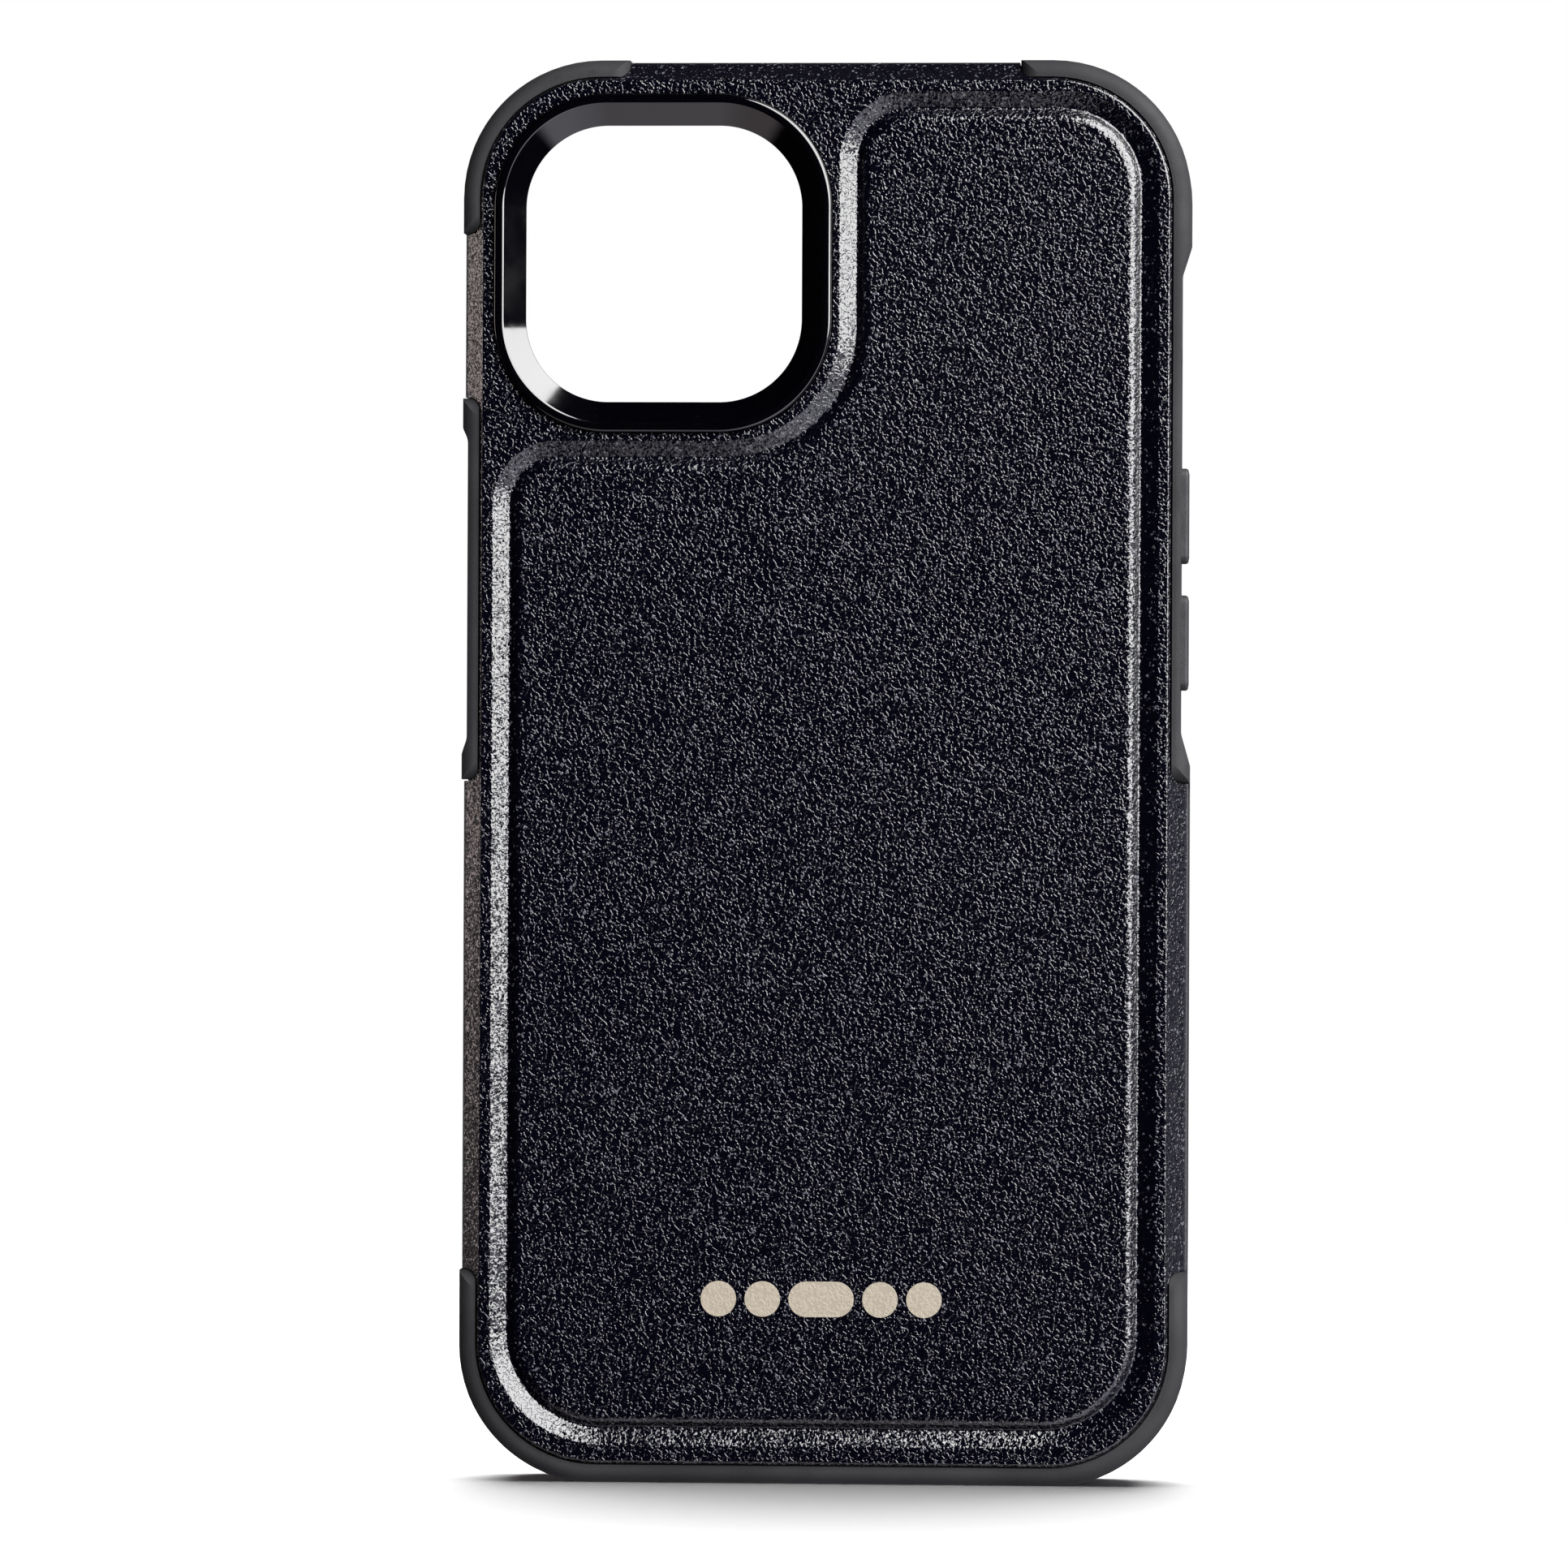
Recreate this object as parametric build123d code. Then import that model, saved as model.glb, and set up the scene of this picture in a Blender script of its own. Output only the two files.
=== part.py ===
"""Two-layer protective case for a phone: a soft sleeve, a hard rear shell and a gloss camera bezel.

Millimetres. The case stands on its bottom edge: +X is to the right seen from the back, +Z is up
along the case, and +Y runs from the back of the case towards the screen side. Depths in this file
are counted forwards from the crest of the camera bezel, the rearmost point.
"""
import os

from build123d import *

os.makedirs("parts", exist_ok=True)

# The phone that the case is made for
PHONE_WIDTH = 71.5
PHONE_LENGTH = 146.7
PHONE_THICKNESS = 7.65
POCKET_GAP = 0.15

# Outside of the case
CASE_WIDTH = 78.0
CASE_LENGTH = 152.3
CASE_DEPTH = 12.5
CASE_CORNER = 14.8
BASE_FLAT = 0.25

# Depths, counted from the bezel's crest
RIM_DEPTH = 0.8
SHELL_BACK = 1.5
LAYER_GAP = 0.05
SLEEVE_BACK = 1.0
SHELL_FRONT = 10.6

# Outside of the hard shell: it flares forwards from a crease round the back
SHELL_INSET = 0.15
SHELL_FLARE = 2.15
FLARE_DEPTH = 3.6
FLARE_BLEND = 1.5
CREASE_ROUND = 0.2
PLATE_INSET = 2.05
SHELL_BORE_GAP = 0.1

# Outside of the soft pads, whose round back edge stands a little proud of the shell
WALL_ROOT_DEPTH = 1.1
WALL_CLEARANCE = 0.15
PAD_ROUND = 1.5
PAD_BORE_INSET = 1.85
SLEEVE_WALL = 1.25
FRONT_EDGE = 0.8
LIP_OVERHANG = 1.3
LIP_EDGE = 0.4

# Embossed groove round the raised panel: its outer edge is a six-cornered outline
GROOVE_SIDE = 35.6
GROOVE_TOP = 148.9
GROOVE_BOTTOM = 4.0
GROOVE_STEP_X = 1.5
GROOVE_STEP_Z = 111.5
FOOT_RADIUS = 12.0
TOP_RADIUS = 10.2
NECK_RADIUS = 7.5
STEP_RADIUS = 12.0
SHOULDER_RADIUS = 6.8
GROOVE_SLOPE = 1.9
GROOVE_RISE = 0.9
GROOVE_DEPTH = 0.9
GROOVE_EDGE = 0.4
GROOVE_VALLEY = 0.3
PANEL_EDGE = 1.2

# Camera window and its bezel
WINDOW_X = -17.4
WINDOW_Z = 130.45
WINDOW_SIZE = 29.6
WINDOW_CORNER = 8.85
FUNNEL_WIDTH = 2.35
FUNNEL_DEPTH = 2.1
BEZEL_FLAT = 0.95
BEZEL_SEAM = 0.12
BEZEL_ROUND = 0.3
FLANGE_WIDTH = 0.8
FLANGE_THICKNESS = 0.75
FIT_GAP = 0.05
SLEEVE_WINDOW_GAP = 1.1

# Side walls of the shell, as (first, last) along the edge that each one stands on
TOP_WALL = (-21.0, 20.6)
LEFT_UPPER_WALL = (116.2, 133.6)
LEFT_LOWER_WALL = (22.7, 75.0)
RIGHT_WALL = (23.0, 75.0)
WALL_ROOT_RADIUS = 2.0
WALL_FOOT_RADIUS = 1.2

# Thumb recesses in the sleeve, as (foot, start of floor, end of floor, top) along the side
RIGHT_RECESS = (76.9, 80.4, 129.8, 132.9)
RIGHT_RECESS_DEPTH = 1.0
LEFT_RECESS = (77.8, 79.5, 111.6, 112.9)
LEFT_RECESS_DEPTH = 0.65
RECESS_BLEND = 2.0

# Buttons, as (height of the centre, length), and how far their caps stand out of the recess
VOLUME_UP = (103.7, 10.2)
VOLUME_DOWN = (90.1, 10.2)
POWER = (95.6, 17.0)
VOLUME_KEY_PROUD = 0.85
POWER_KEY_PROUD = 0.05
CAP_HEIGHT = 3.6
CAP_CORNER = 0.9
CAP_ROUND = 0.3
CAP_GAP = 0.2
KEY_FLANGE = 0.8
KEY_FLANGE_THICKNESS = 0.6
KEY_TRAVEL = 0.4
KEY_NUB_SIZE = (5.0, 1.6)
KEY_NUB_HEIGHT = 0.25

# Openings in the sleeve
SWITCH_Z = 117.4
SWITCH_LENGTH = 9.0
SWITCH_HEIGHT = 5.6
PORT_LENGTH = 13.4
PORT_HEIGHT = 6.8
SPEAKER_X = 17.5
SPEAKER_LENGTH = 13.0
SPEAKER_HEIGHT = 2.8

# Printed ornament: dots either side of a bar
MARK_Z = 19.75
MARK_HEIGHT = 3.8
MARK_BAR = 7.0
MARK_GAP = 0.9
MARK_THICKNESS = 0.05

# Worked out from the sizes above
HALF_X = CASE_WIDTH / 2
HALF_Z = CASE_LENGTH / 2
MIDDLE = CASE_LENGTH / 2
SHELL_INSIDE = RIM_DEPTH + SHELL_BACK
SLEEVE_OUTSIDE = SHELL_INSIDE + LAYER_GAP
POCKET_FLOOR = SLEEVE_OUTSIDE + SLEEVE_BACK
LIP_INSIDE = POCKET_FLOOR + PHONE_THICKNESS + LAYER_GAP
MID_PHONE = POCKET_FLOOR + PHONE_THICKNESS / 2
PAD_TOP = WALL_ROOT_DEPTH + WALL_CLEARANCE
POCKET_X = PHONE_WIDTH / 2 + POCKET_GAP
POCKET_Z = PHONE_LENGTH / 2 + POCKET_GAP
POCKET_CORNER = CASE_CORNER - (HALF_X - POCKET_X)
BASE_WALL = MIDDLE - POCKET_Z
KEY_SHOULDER = POCKET_X + KEY_TRAVEL + KEY_FLANGE_THICKNESS
BEZEL_GROW = FUNNEL_WIDTH + BEZEL_FLAT
FLANGE_GROW = BEZEL_GROW + FLANGE_WIDTH


def at_depth(depth):
    """The Y of a depth counted from the bezel's crest."""
    return depth - CASE_DEPTH / 2


def back_plane(depth, x=0.0, z=0.0):
    """A plane across the case at a depth, facing the back: its own Y runs up the case."""
    return Plane(origin=(x, at_depth(depth), z), x_dir=(1, 0, 0), z_dir=(0, -1, 0))


def side_plane(x):
    """A plane along a side, facing left: its own X runs up the case and its own Y to the front."""
    return Plane(origin=(x, 0, 0), x_dir=(0, 0, 1), z_dir=(-1, 0, 0))


def slab(half_x, half_z, corner, near, far, x=0.0, z=MIDDLE):
    """A rounded rectangular prism between two depths."""
    outline = back_plane(far, x, z) * RectangleRounded(2 * half_x, 2 * half_z, corner)
    return extrude(outline, amount=far - near)


def case_slab(inset, near, far):
    """A prism with the case's own outline, moved in by an inset."""
    return slab(HALF_X - inset, HALF_Z - inset, CASE_CORNER - inset, near, far)


def edges_at(body, depth):
    """The edges of a body that lie in the plane of one depth."""
    y = at_depth(depth)
    return body.edges().filter_by_position(Axis.Y, y - 1e-3, y + 1e-3)


def shell_body():
    """The hard shell's outside, filled in: it flares from its back crease and then runs straight."""
    ends = []
    for depth, inset in ((RIM_DEPTH, SHELL_INSET + SHELL_FLARE), (FLARE_DEPTH, SHELL_INSET)):
        size = (2 * (HALF_X - inset), 2 * (HALF_Z - inset))
        ends.append(back_plane(depth, z=MIDDLE) * RectangleRounded(*size, CASE_CORNER - inset))
    body = loft(ends, ruled=True) + case_slab(SHELL_INSET, FLARE_DEPTH, SHELL_FRONT)
    body = fillet(edges_at(body, FLARE_DEPTH), FLARE_BLEND)
    return fillet(edges_at(body, RIM_DEPTH), CREASE_ROUND)


def wall_profile(first, last, grow=0.0):
    """A shell side wall seen square on: a tongue with hollow root corners and round foot corners."""
    root = at_depth(WALL_ROOT_DEPTH)
    foot = at_depth(SHELL_FRONT) + grow
    shoulder = root + WALL_ROOT_RADIUS
    behind = at_depth(0)
    middle = (first + last) / 2
    neck = Pos(middle, (behind + shoulder) / 2) * Rectangle(
        last - first + 2 * WALL_ROOT_RADIUS, shoulder - behind
    )
    tongue = Pos(middle, (behind + foot) / 2) * Rectangle(last - first + 2 * grow, foot - behind)
    foot_corners = tongue.vertices().sort_by(Axis.Y)[-2:]
    profile = neck + fillet(foot_corners, WALL_FOOT_RADIUS)
    for end in (first - WALL_ROOT_RADIUS, last + WALL_ROOT_RADIUS):
        profile -= Pos(end, shoulder) * Circle(WALL_ROOT_RADIUS - grow)
    return profile


def wall_prisms(grow=0.0):
    """The outlines of all four shell side walls, each pushed through its own edge of the case."""
    deep, proud = 8.0, 4.0
    top = Plane.XY.offset(CASE_LENGTH - deep) * wall_profile(*TOP_WALL, grow)
    prisms = extrude(top, amount=deep + proud)
    for x, walls in (
        (HALF_X + proud, [RIGHT_WALL]),
        (-HALF_X + deep, [LEFT_UPPER_WALL, LEFT_LOWER_WALL]),
    ):
        for wall in walls:
            prisms += extrude(side_plane(x) * wall_profile(*wall, grow), amount=deep + proud)
    return prisms


def groove_cutter():
    """The embossed groove: one section carried round the six-cornered outline of its outer edge."""
    corners = [
        (-GROOVE_SIDE, GROOVE_BOTTOM, FOOT_RADIUS),
        (GROOVE_SIDE, GROOVE_BOTTOM, FOOT_RADIUS),
        (GROOVE_SIDE, GROOVE_TOP, TOP_RADIUS),
        (GROOVE_STEP_X, GROOVE_TOP, NECK_RADIUS),
        (GROOVE_STEP_X, GROOVE_STEP_Z, STEP_RADIUS),
        (-GROOVE_SIDE, GROOVE_STEP_Z, SHOULDER_RADIUS),
    ]
    rim = at_depth(RIM_DEPTH)
    points = [(x, rim, z) for x, z, radius in corners]
    path = FilletPolyline(*points, radius=[radius for x, z, radius in corners], close=True)
    width = GROOVE_SLOPE + GROOVE_RISE
    outline = Polyline(
        (-1, -1),
        (-1, 0),
        (0, 0),
        (GROOVE_SLOPE, GROOVE_DEPTH),
        (width, 0),
        (width + 1, 0),
        (width + 1, -1),
        close=True,
    )
    section = make_face(outline)
    for x, y, radius in (
        (0, 0, GROOVE_EDGE),
        (GROOVE_SLOPE, GROOVE_DEPTH, GROOVE_VALLEY),
        (width, 0, PANEL_EDGE),
    ):
        section = fillet(section.vertices().sort_by_distance((x, y, 0))[0], radius)
    across_left_side = Plane(origin=path @ 0, x_dir=(1, 0, 0), z_dir=(0, 0, 1))
    return sweep(across_left_side * section, path=path)


def window_slab(grow, near, far):
    """A prism with the camera window's outline, grown all round."""
    half = WINDOW_SIZE / 2 + grow
    return slab(half, half, WINDOW_CORNER + grow, near, far, WINDOW_X, WINDOW_Z)


def make_rear_shell():
    """Hard shell: an embossed back plate with four side walls between the soft pads."""
    body = shell_body()
    plate = body & case_slab(PLATE_INSET, 0, SHELL_INSIDE)
    walls = (body & wall_prisms()) - sleeve_tub(SHELL_BORE_GAP, SHELL_INSIDE)
    shell = plate + walls - groove_cutter()
    shell -= window_slab(BEZEL_GROW + BEZEL_SEAM, 0, SHELL_INSIDE + 1)
    rebate = SHELL_INSIDE - FLANGE_THICKNESS - FIT_GAP
    return shell - window_slab(FLANGE_GROW + FIT_GAP, rebate, SHELL_INSIDE + 1)


def make_camera_bezel():
    """Gloss ring round the camera: a funnel, a flat crest and a flange held inside the shell."""
    ring = window_slab(BEZEL_GROW, 0, SHELL_INSIDE)
    ring += window_slab(FLANGE_GROW, SHELL_INSIDE - FLANGE_THICKNESS, SHELL_INSIDE)
    slope = FUNNEL_WIDTH / FUNNEL_DEPTH
    ends = []
    for depth in (-1, FUNNEL_DEPTH):
        grow = (FUNNEL_DEPTH - depth) * slope
        size = WINDOW_SIZE + 2 * grow
        outline = RectangleRounded(size, size, WINDOW_CORNER + grow)
        ends.append(back_plane(depth, WINDOW_X, WINDOW_Z) * outline)
    ring -= loft(ends, ruled=True)
    ring -= window_slab(0, FUNNEL_DEPTH - 0.01, SHELL_INSIDE + 1)
    crest = ring.faces().sort_by(Axis.Y)[0]
    ring = fillet(crest.inner_wires()[0].edges(), BEZEL_ROUND)
    crest = ring.faces().sort_by(Axis.Y)[0]
    return fillet(crest.outer_wire().edges(), BEZEL_ROUND)


def sleeve_tub(grow, back):
    """The outside of the sleeve's thin inner wall, grown all round, from a depth to the front."""
    half_x = POCKET_X + SLEEVE_WALL + grow
    half_z = POCKET_Z + SLEEVE_WALL + grow
    return slab(half_x, half_z, POCKET_CORNER + SLEEVE_WALL + grow, back, CASE_DEPTH)


def recess_cutter(heights, depth):
    """A thumb recess through the right side of the sleeve: a floor between two slopes."""
    foot, first, last, top = heights
    beyond = 2.0
    outline = Polyline(
        (HALF_X + beyond, foot - beyond * (first - foot) / depth),
        (HALF_X - depth, first),
        (HALF_X - depth, last),
        (HALF_X + beyond, top + beyond * (top - last) / depth),
        close=True,
    )
    floor = make_face(outline)
    floor = fillet(floor.vertices().sort_by(Axis.X)[:2], RECESS_BLEND)
    return extrude(back_plane(CASE_DEPTH + 1) * floor, amount=CASE_DEPTH + 2)


def through_side(outline, inner, outer):
    """An outline that faces the side, pushed through the right side from one X to another."""
    return extrude(side_plane(outer) * outline, amount=outer - inner)


def key_outline(centre, length, grow=0.0):
    """A button's outline as it faces the side, grown all round."""
    size = (length + 2 * grow, CAP_HEIGHT + 2 * grow)
    return Pos(centre, at_depth(MID_PHONE)) * RectangleRounded(*size, CAP_CORNER)


def key_way(centre, length):
    """The way through the sleeve for a button: a slot with a rebate inside for its flange."""
    slot = through_side(key_outline(centre, length, CAP_GAP), POCKET_X - 1, HALF_X + 1)
    rebate = key_outline(centre, length, KEY_FLANGE + CAP_GAP)
    return slot + through_side(rebate, POCKET_X - 1, KEY_SHOULDER + FIT_GAP)


def make_key(centre, length, recess_depth, proud):
    """A button for the right side: a rounded cap, a flange that holds it in, and a pusher nub."""
    top = HALF_X - recess_depth + proud
    cap = through_side(key_outline(centre, length), KEY_SHOULDER - 0.1, top)
    cap = fillet(cap.faces().sort_by(Axis.X)[-1].edges(), CAP_ROUND)
    flange_back = KEY_SHOULDER - KEY_FLANGE_THICKNESS
    flange = through_side(key_outline(centre, length, KEY_FLANGE), flange_back, KEY_SHOULDER)
    nub_outline = Pos(centre, at_depth(MID_PHONE)) * Rectangle(*KEY_NUB_SIZE)
    nub = through_side(nub_outline, flange_back - KEY_NUB_HEIGHT, flange_back)
    return cap + flange + nub


def make_soft_sleeve():
    """Soft sleeve: a tub round the phone with a screen lip, and pads that fill the shell's gaps."""
    low = BASE_FLAT / 2
    body = slab(HALF_X, HALF_Z + low, CASE_CORNER, PAD_TOP, CASE_DEPTH, z=MIDDLE - low)
    body = fillet(edges_at(body, PAD_TOP), PAD_ROUND)
    body = fillet(edges_at(body, CASE_DEPTH), FRONT_EDGE)
    body -= Pos(0, 0, -BASE_FLAT) * Box(CASE_WIDTH, CASE_DEPTH + 1, 2 * BASE_FLAT)
    body -= case_slab(PAD_BORE_INSET, 0, SLEEVE_OUTSIDE)
    body -= wall_prisms(WALL_CLEARANCE) - sleeve_tub(0.0, SLEEVE_OUTSIDE)
    body -= slab(POCKET_X, POCKET_Z, POCKET_CORNER, POCKET_FLOOR, LIP_INSIDE)
    mouth = (POCKET_X - LIP_OVERHANG, POCKET_Z - LIP_OVERHANG, POCKET_CORNER - LIP_OVERHANG)
    body -= slab(*mouth, POCKET_FLOOR, CASE_DEPTH + 1)
    front = body.faces().sort_by(Axis.Y)[-1]
    body = fillet(front.inner_wires()[0].edges(), LIP_EDGE)
    body -= window_slab(SLEEVE_WINDOW_GAP, 0, POCKET_FLOOR + 0.5)
    body -= recess_cutter(RIGHT_RECESS, RIGHT_RECESS_DEPTH)
    body -= mirror(recess_cutter(LEFT_RECESS, LEFT_RECESS_DEPTH), about=Plane.YZ)
    body -= key_way(*VOLUME_UP) + key_way(*VOLUME_DOWN)
    body -= mirror(key_way(*POWER), about=Plane.YZ)
    switch = RectangleRounded(SWITCH_LENGTH, SWITCH_HEIGHT, SWITCH_HEIGHT / 2 - 0.01)
    body -= through_side(Pos(SWITCH_Z, at_depth(MID_PHONE)) * switch, POCKET_X - 1, HALF_X + 1)
    for x, length, height in (
        (0, PORT_LENGTH, PORT_HEIGHT),
        (-SPEAKER_X, SPEAKER_LENGTH, SPEAKER_HEIGHT),
        (SPEAKER_X, SPEAKER_LENGTH, SPEAKER_HEIGHT),
    ):
        slot = Pos(x, at_depth(MID_PHONE)) * RectangleRounded(length, height, height / 2 - 0.01)
        body -= extrude(Plane.XY.offset(-1) * slot, amount=BASE_WALL + 2)
    return body


def make_printed_mark():
    """Plain printed ornament low on the panel: two dots, a bar and two dots."""
    across = back_plane(RIM_DEPTH, z=MARK_Z)
    radius = MARK_HEIGHT / 2
    shapes = across * RectangleRounded(MARK_BAR, MARK_HEIGHT, radius - 0.01)
    first_dot = MARK_BAR / 2 + MARK_GAP + radius
    for x in (first_dot, first_dot + MARK_HEIGHT + MARK_GAP):
        shapes += across * Pos(x, 0) * Circle(radius)
        shapes += across * Pos(-x, 0) * Circle(radius)
    return extrude(shapes, amount=MARK_THICKNESS)


def main():
    """Makes every piece and writes one file for each."""
    pieces = {
        "soft_sleeve": make_soft_sleeve(),
        "rear_shell": make_rear_shell(),
        "camera_bezel": make_camera_bezel(),
        "volume_up_button": make_key(*VOLUME_UP, RIGHT_RECESS_DEPTH, VOLUME_KEY_PROUD),
        "volume_down_button": make_key(*VOLUME_DOWN, RIGHT_RECESS_DEPTH, VOLUME_KEY_PROUD),
        "power_button": mirror(
            make_key(*POWER, LEFT_RECESS_DEPTH, POWER_KEY_PROUD), about=Plane.YZ
        ),
        "printed_mark": make_printed_mark(),
    }
    for name, piece in pieces.items():
        export_step(piece, f"parts/{name}.step")
        box = piece.bounding_box()
        print(name, "X", round(box.min.X, 2), round(box.max.X, 2),
              "Y", round(box.min.Y, 2), round(box.max.Y, 2),
              "Z", round(box.min.Z, 2), round(box.max.Z, 2))


main()
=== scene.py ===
"""Studio scene of a two-layer phone case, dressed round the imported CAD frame.

Every piece is in metres in the frame's own axes: +X is to the right seen from the back, +Z is up
along the case, and +Y runs from the back of the case towards the screen side. Sizes that repeat
the part's own are in millimetres, and depths are counted forwards from the crest of the bezel.
"""
import logging
import math
from dataclasses import dataclass
from enum import Enum
from typing import Any

import bpy
import numpy as np
from mathutils import Matrix, Vector


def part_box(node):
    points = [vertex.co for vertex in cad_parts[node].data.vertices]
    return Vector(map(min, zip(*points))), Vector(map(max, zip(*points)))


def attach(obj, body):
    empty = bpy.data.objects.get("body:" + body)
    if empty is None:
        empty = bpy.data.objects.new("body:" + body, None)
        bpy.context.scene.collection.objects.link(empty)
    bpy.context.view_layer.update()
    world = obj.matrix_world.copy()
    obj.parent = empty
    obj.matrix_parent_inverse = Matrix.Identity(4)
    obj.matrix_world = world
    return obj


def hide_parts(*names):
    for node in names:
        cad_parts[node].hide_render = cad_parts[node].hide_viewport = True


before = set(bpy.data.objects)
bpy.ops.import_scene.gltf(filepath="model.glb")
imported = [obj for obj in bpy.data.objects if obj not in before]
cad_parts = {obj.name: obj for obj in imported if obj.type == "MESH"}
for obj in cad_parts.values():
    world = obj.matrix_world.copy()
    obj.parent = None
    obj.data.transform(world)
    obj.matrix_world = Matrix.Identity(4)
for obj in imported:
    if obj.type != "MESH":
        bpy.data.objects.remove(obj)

LOG = logging.getLogger("phone_case")
MM = 0.001
WELD_DIGITS = 5
TINY = 1e-9
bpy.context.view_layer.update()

Array = np.ndarray
Socket = Any
Triple = tuple[float, float, float]
Colour = tuple[float, float, float, float]


class Body(Enum):
    """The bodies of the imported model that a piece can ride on."""

    SLEEVE = "sleeve"
    SHELL = "outer_shell"
    VOLUME_UP = "volume_up"
    VOLUME_DOWN = "volume_down"
    POWER = "power"


class Slot(Enum):
    """The record's material slots."""

    SLEEVE = "soft_sleeve"
    SHELL = "hard_shell"
    BEZEL = "gloss_bezel"
    BUTTON = "button"
    INK = "printed_ink"


class Side(Enum):
    """The side of the case that a button is on, as the sign of its X."""

    RIGHT = 1.0
    LEFT = -1.0


# ---------------------------------------------------------------- surfaces


@dataclass(frozen=True)
class Outline:
    """A smooth closed outline, kept as arc centres, outward normals and one corner radius.

    A point of the outline grown by g is its centre plus (radius + g) times its normal.
    """

    centres: Array
    normals: Array
    radius: float

    def grown(self, grow: Array) -> Array:
        """The outline grown by each amount, in mm.

        Args:
            grow: K amounts.

        Returns:
            Points of shape (K, N, 2).
        """
        reach = (self.radius + np.asarray(grow, float))[:, None, None]
        return self.centres[None] + reach * self.normals[None]


def rounded_rectangle(
    half_u: float, half_v: float, radius: float, arc_steps: int = 16, side_steps: int = 6
) -> Outline:
    """A rounded rectangle: four quarter arcs about four centres, joined by straight sides.

    Args:
        half_u: half its width, in mm.
        half_v: half its height, in mm.
        radius: its corner radius, in mm.
        arc_steps: faces round each corner.
        side_steps: faces along each straight side.

    Returns:
        The outline, counter-clockwise from the start of its first corner's arc.
    """
    signs = np.array([(1, 1), (-1, 1), (-1, -1), (1, -1)], float)
    corners = signs * (half_u - radius, half_v - radius)
    turn = np.arange(4)[:, None] * math.pi / 2 + np.linspace(0, math.pi / 2, arc_steps + 1)
    arc_normals = np.stack([np.cos(turn), np.sin(turn)], axis=2)
    arc_centres = np.repeat(corners[:, None], arc_steps + 1, axis=1)
    share = np.linspace(0, 1, side_steps + 1)[1:-1, None]
    ahead = np.roll(corners, -1, axis=0)
    side_centres = corners[:, None] * (1 - share) + ahead[:, None] * share
    side_normals = np.repeat(arc_normals[:, -1:], side_steps - 1, axis=1)
    centres = np.concatenate([arc_centres, side_centres], axis=1).reshape(-1, 2)
    normals = np.concatenate([arc_normals, side_normals], axis=1).reshape(-1, 2)
    return Outline(centres, normals, radius)


def rounded_profile(
    corners: list[tuple[float, float, float]], steps: int = 6, closed: bool = True
) -> tuple[Array, Array]:
    """A polygon whose corners are arcs tangent to both of their sides.

    The arc of a corner with half-angle h starts radius / tan(h) from the corner, and its normals
    turn evenly from one side's to the next one's.

    Args:
        corners: (u, v, radius) of each corner in order, in mm.
        steps: faces round each arc.
        closed: whether the last corner joins the first.

    Returns:
        Points and unit normals, each of shape (K, 2). The normals are on the right of the way
        along.
    """
    data = np.array(corners, float)
    points, radii = data[:, :2], data[:, 2]
    before = points - np.roll(points, 1, axis=0)
    after = np.roll(points, -1, axis=0) - points
    if not closed:
        before[0], after[-1] = after[0], before[-1]
        radii = radii.copy()
        radii[[0, -1]] = 0.0
    before /= np.linalg.norm(before, axis=1, keepdims=True)
    after /= np.linalg.norm(after, axis=1, keepdims=True)
    cross = before[:, 0] * after[:, 1] - before[:, 1] * after[:, 0]
    turn = np.arctan2(cross, (before * after).sum(axis=1))
    back = np.abs(radii * np.tan(turn / 2))
    left = np.stack([-before[:, 1], before[:, 0]], axis=1)
    centre = points - before * back[:, None] + left * (np.sign(turn) * radii)[:, None]
    start = np.arctan2(-left[:, 1], -left[:, 0])[:, None]
    angle = start + turn[:, None] * np.linspace(0, 1, steps + 1)
    normals = np.stack([np.cos(angle), np.sin(angle)], axis=2)
    arcs = centre[:, None] + (np.sign(turn) * radii)[:, None, None] * normals
    sharp = radii == 0
    arcs[sharp] = points[sharp][:, None]
    return arcs.reshape(-1, 2), normals.reshape(-1, 2)


def grid_faces(rows: int, columns: int, close_rows: bool, close_columns: bool) -> Array:
    """The quads of a grid whose vertex (i, j) is number i * columns + j.

    Args:
        rows: vertices down the grid.
        columns: vertices along the grid.
        close_rows: whether the last row joins the first.
        close_columns: whether the last column joins the first.

    Returns:
        Vertex numbers of shape (F, 4).
    """
    i = np.arange(rows if close_rows else rows - 1)[:, None]
    j = np.arange(columns if close_columns else columns - 1)[None]
    i_next, j_next = (i + 1) % rows, (j + 1) % columns
    quads = [i * columns + j, i * columns + j_next, i_next * columns + j_next, i_next * columns + j]
    return np.stack(quads, axis=2).reshape(-1, 4)


@dataclass
class Surface:
    """Vertices in mm, their normals and the faces between them."""

    points: Array
    normals: Array
    faces: Array

    def joined(self, other: "Surface") -> "Surface":
        """This surface and another as one, without welding them."""
        return Surface(
            np.concatenate([self.points, other.points]),
            np.concatenate([self.normals, other.normals]),
            np.concatenate([self.faces, other.faces + len(self.points)]),
        )

    def placed(self, axes: Array, origin: Array) -> "Surface":
        """This surface carried from its own axes into the frame's.

        Args:
            axes: three rows, the frame's directions of its own three axes.
            origin: where its own origin goes, in mm.

        Returns:
            The placed surface.
        """
        return Surface(self.points @ axes + origin, self.normals @ axes, self.faces)


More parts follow.
